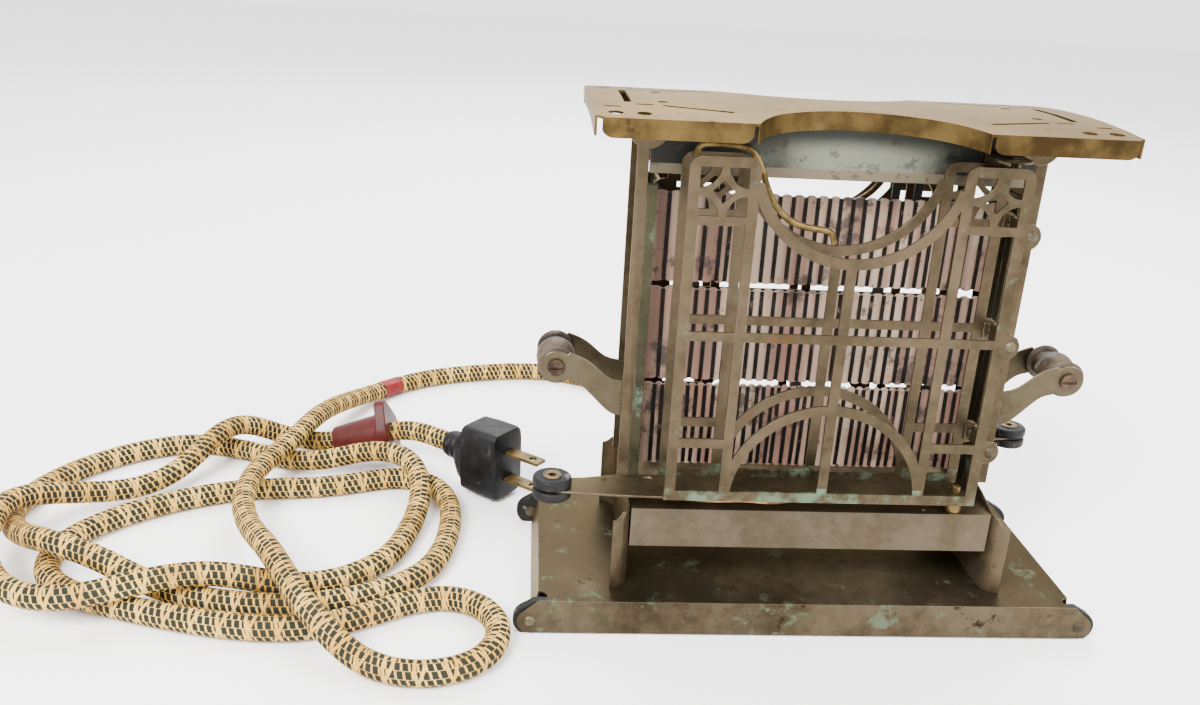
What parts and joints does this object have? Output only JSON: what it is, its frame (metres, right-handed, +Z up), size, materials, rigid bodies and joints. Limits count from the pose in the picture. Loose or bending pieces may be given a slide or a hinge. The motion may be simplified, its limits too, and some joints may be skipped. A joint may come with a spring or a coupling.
{
  "type": "swing-basket toaster",
  "caption": "Antique electric toaster: two pierced metal bread baskets swing out on upright pins from a flat open heater, with spool handles at both ends and a braided cord.",
  "frame": {"origin": "middle of the base, on the surface the feet stand on", "axes": "+X to the right along the base, +Y to the back, +Z up"},
  "size_m": [0.425, 0.285, 0.1864],
  "materials": {
    "aged_nickel": "worn plating, satin",
    "grey_steel": "dull grey oxide",
    "green_steel": "dull, green-tinged",
    "golden_nickel": "worn plating browned by heat",
    "mica": "matte, flecked",
    "heating_ribbon": "dark oxide",
    "brass": "dull",
    "copper_wire": "dull",
    "black_fibre": "worn",
    "umber_wood": "worn, dark",
    "dark_screw": "rusted",
    "braid": "woven cream and black",
    "maroon_resin": "moulded, semi-gloss",
    "red_tape": "wrapped tape",
    "black_rubber": "moulded, dull",
    "ceramic": "unglazed"
  },
  "bodies": {
    "frame": {"base_tray": "aged_nickel", "base_feet": "black_fibre", "foot_eyelets": "brass", "deck_cover": "aged_nickel", "terminal_block": "ceramic", "terminal_screws": "brass", "detent_springs": "copper_wire", "side_plate_left": "aged_nickel", "side_plate_right": "aged_nickel", "element_frame_left": "green_steel", "element_frame_right": "green_steel", "mica_card_top": "mica", "mica_card_middle": "mica", "mica_card_bottom": "mica", "ribbon_top": "heating_ribbon", "ribbon_middle": "heating_ribbon", "ribbon_bottom": "heating_ribbon", "card_hangers": "heating_ribbon", "top_bridge": "grey_steel", "top_clips": "aged_nickel", "top_plate": "golden_nickel", "lower_pivots": "brass", "upper_pivots": "aged_nickel", "handle_bracket_left": "aged_nickel", "handle_bracket_right": "aged_nickel", "handle_screw_left": "dark_screw", "handle_screw_right": "dark_screw", "cord_gland": "black_rubber", "cord": "braid", "cord_grip": "maroon_resin", "cord_tape": "red_tape", "plug_body": "black_rubber", "plug_blades": "brass"},
    "front_basket": {"front_outer_panel": "aged_nickel", "front_inner_panel": "aged_nickel", "front_tray": "aged_nickel", "front_straps": "aged_nickel", "front_strap_rivets": "brass", "front_hinge_plate": "aged_nickel", "front_bread_wire": "brass", "front_knob": "black_fibre", "front_knob_eyelet": "brass"},
    "rear_basket": {"rear_outer_panel": "aged_nickel", "rear_inner_panel": "aged_nickel", "rear_tray": "aged_nickel", "rear_straps": "aged_nickel", "rear_strap_rivets": "brass", "rear_hinge_plate": "aged_nickel", "rear_bread_wire": "brass", "rear_knob": "black_fibre", "rear_knob_eyelet": "brass"},
    "left_grip": {"grip_left": "umber_wood"},
    "right_grip": {"grip_right": "umber_wood"}
  },
  "joints": [
    {"name": "front_swing", "type": "hinge", "parent": "frame", "child": "front_basket", "pos_m": [0.053, -0.0265, 0.054], "axis": [0, 0, 1], "range_deg": [0, 105]},
    {"name": "rear_swing", "type": "hinge", "parent": "frame", "child": "rear_basket", "pos_m": [-0.053, 0.0265, 0.054], "axis": [0, 0, 1], "range_deg": [0, 105]},
    {"name": "left_grip_spin", "type": "hinge", "parent": "frame", "child": "left_grip", "pos_m": [-0.095, 0, 0.091], "axis": [0, 1, 0], "continuous": true},
    {"name": "right_grip_spin", "type": "hinge", "parent": "frame", "child": "right_grip", "pos_m": [0.095, 0, 0.091], "axis": [0, 1, 0], "continuous": true}
  ]
}
